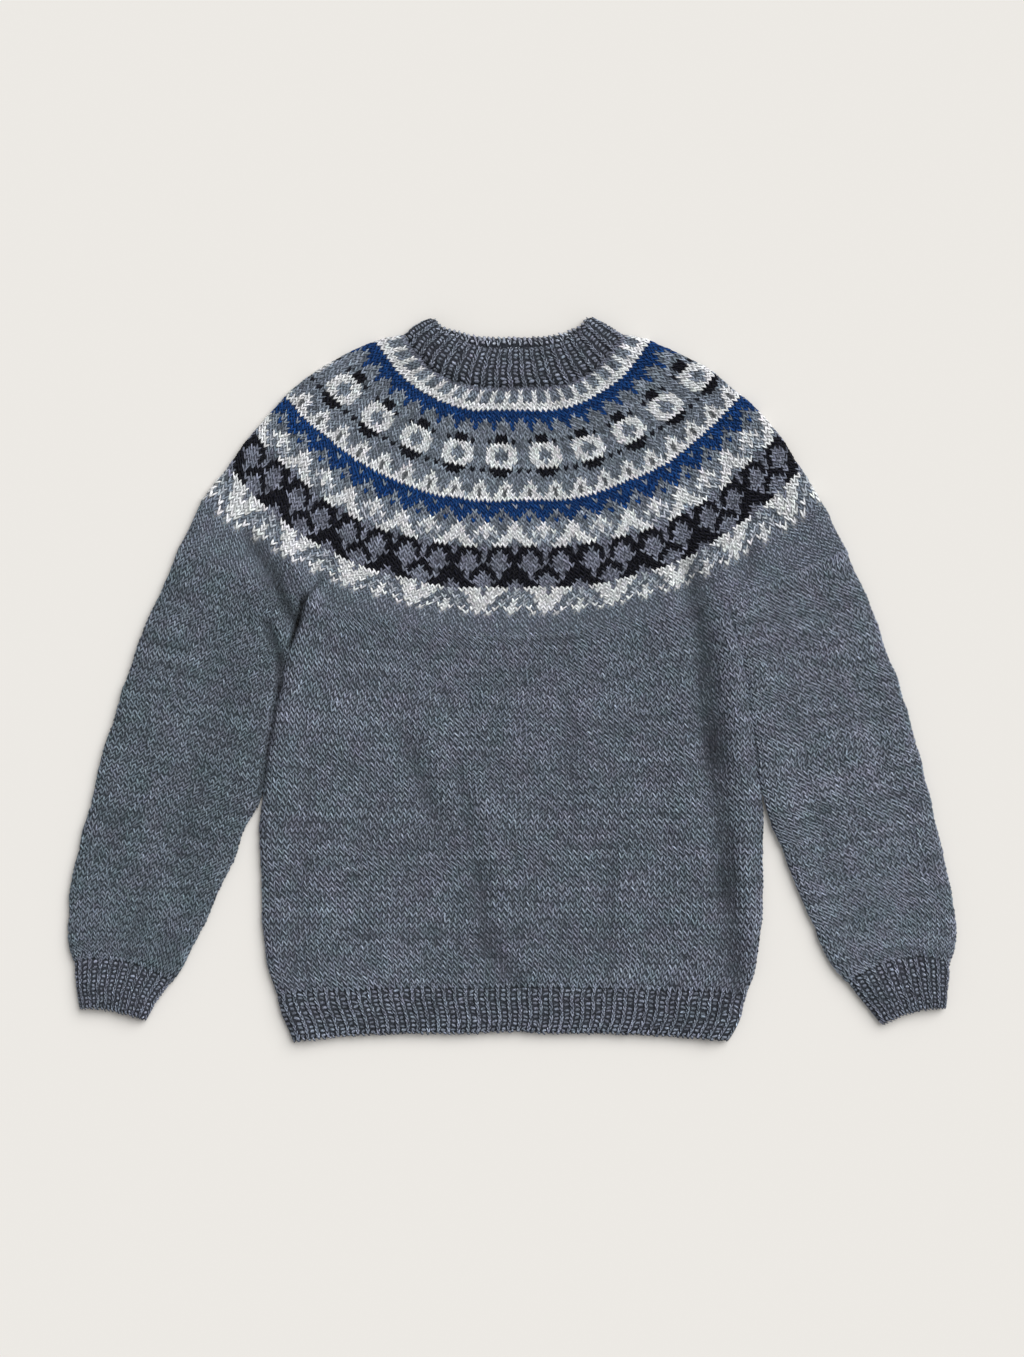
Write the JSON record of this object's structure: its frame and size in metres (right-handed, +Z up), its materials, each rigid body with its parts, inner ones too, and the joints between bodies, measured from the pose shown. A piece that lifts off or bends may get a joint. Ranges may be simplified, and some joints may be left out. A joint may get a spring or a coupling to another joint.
{
  "type": "nordic yoke sweater",
  "caption": "Wool pullover with a round patterned yoke, ribbed neck, cuffs and hem, laid flat with its sleeves beside the body",
  "frame": {"origin": "on the surface the garment lies on, under the middle of its bounding box", "axes": "+X to the viewer's right across the body, +Y from hem to neck, +Z up from the surface"},
  "size_m": [0.7842, 0.6388, 0.0134],
  "materials": {
    "heather_wool": "heathered blue-grey wool, plain stocking stitch, slightly hairy, no shine",
    "marled_rib": "marled dark and light grey wool in single rib, no shine",
    "yoke_wool": "stranded colour knitting in grey, off-white, navy and black wool, no shine"
  },
  "bodies": {
    "root": {"body": "heather_wool", "hem_rib": "marled_rib", "sleeve_left": "heather_wool", "sleeve_right": "heather_wool", "cuff_left": "marled_rib", "cuff_right": "marled_rib", "yoke": "yoke_wool", "neckband": "marled_rib"}
  },
  "joints": []
}
